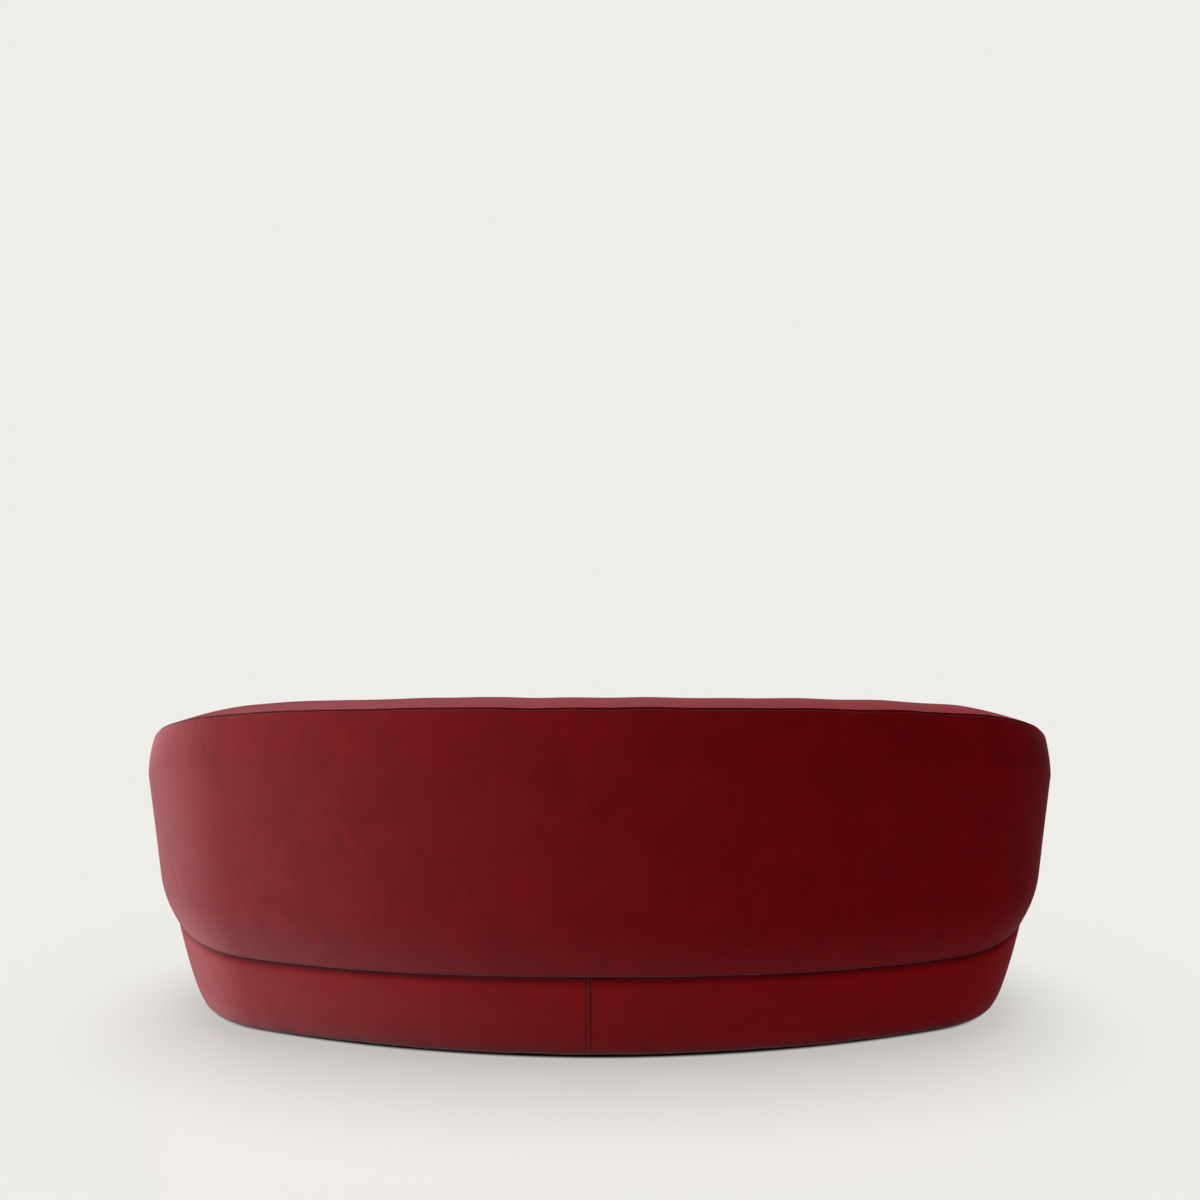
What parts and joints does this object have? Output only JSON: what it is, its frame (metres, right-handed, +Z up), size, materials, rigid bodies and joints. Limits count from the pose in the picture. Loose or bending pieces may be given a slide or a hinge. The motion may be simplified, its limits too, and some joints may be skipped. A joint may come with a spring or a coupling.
{
  "type": "three-seater sofa",
  "caption": "Curved three-seater sofa in velvet: wrap-round back falling to low arms, tapered skirt, loose crowned bench cushion.",
  "frame": {"origin": "centre of the footprint, on the floor", "axes": "+X along the width, towards the left of a viewer behind the sofa; front of the seat faces -Y; +Z up"},
  "size_m": [2.1, 0.9402, 0.7584],
  "materials": {
    "velvet": "deep red velvet with a raised pile",
    "foam": "polyurethane foam",
    "fibre": "polyester fibre wadding",
    "black_cloth": "woven lining",
    "webbing": "elastic webbing",
    "plywood": "bare birch plywood",
    "bent_board": "thin bending board",
    "zinc_steel": "zinc plated",
    "glide_plastic": "matt black"
  },
  "bodies": {
    "sofa_body": {"glides": "glide_plastic", "glide_screws": "zinc_steel", "dust_cover": "black_cloth", "base_bottom_ring": "plywood", "base_uprights": "plywood", "base_top_ring": "plywood", "cross_beam_left": "plywood", "cross_beam_centre": "plywood", "cross_beam_right": "plywood", "base_facing_board": "bent_board", "skirt_foam": "foam", "skirt_cover": "velvet", "skirt_back_seam": "velvet", "webbing_front_to_back": "webbing", "webbing_side_to_side": "webbing", "deck_pad": "foam", "deck_lining": "black_cloth", "back_sill_rail": "plywood", "back_bolts": "zinc_steel", "back_washers": "zinc_steel", "back_nuts": "zinc_steel", "back_top_rail": "plywood", "back_outer_board": "bent_board", "back_inner_board": "bent_board", "back_rib_1": "plywood", "back_rib_2": "plywood", "back_rib_3": "plywood", "back_rib_4": "plywood", "back_rib_5": "plywood", "back_rib_6": "plywood", "back_rib_7": "plywood", "back_rib_8": "plywood", "back_rib_9": "plywood", "back_rib_10": "plywood", "back_rib_11": "plywood", "back_rib_12": "plywood", "back_rib_13": "plywood", "back_outer_foam": "foam", "back_inner_foam": "foam", "back_top_foam": "foam", "arm_end_foam_left": "foam", "arm_end_foam_right": "foam", "back_outer_cover": "velvet", "back_inner_cover": "velvet", "arm_facing_left": "velvet", "arm_facing_right": "velvet"},
    "seat_cushion": {"cushion_foam_core": "foam", "cushion_fibre_layer": "fibre", "cushion_top_panel": "velvet", "cushion_border": "velvet", "cushion_bottom_panel": "black_cloth", "cushion_piping_top": "velvet", "cushion_piping_bottom": "velvet", "cushion_zip": "black_cloth"},
    "zip_slider": {"cushion_zip_slider": "zinc_steel"}
  },
  "joints": [
    {"name": "seat_cushion_lift", "type": "slide", "parent": "sofa_body", "child": "seat_cushion", "axis": [0, 0, 1], "range_m": [0, 0.3]},
    {"name": "zip_slider_travel", "type": "hinge", "parent": "seat_cushion", "child": "zip_slider", "pos_m": [0, -1.62841, 0.335], "axis": [0, 0, 1], "range_deg": [0, 36.5]}
  ]
}
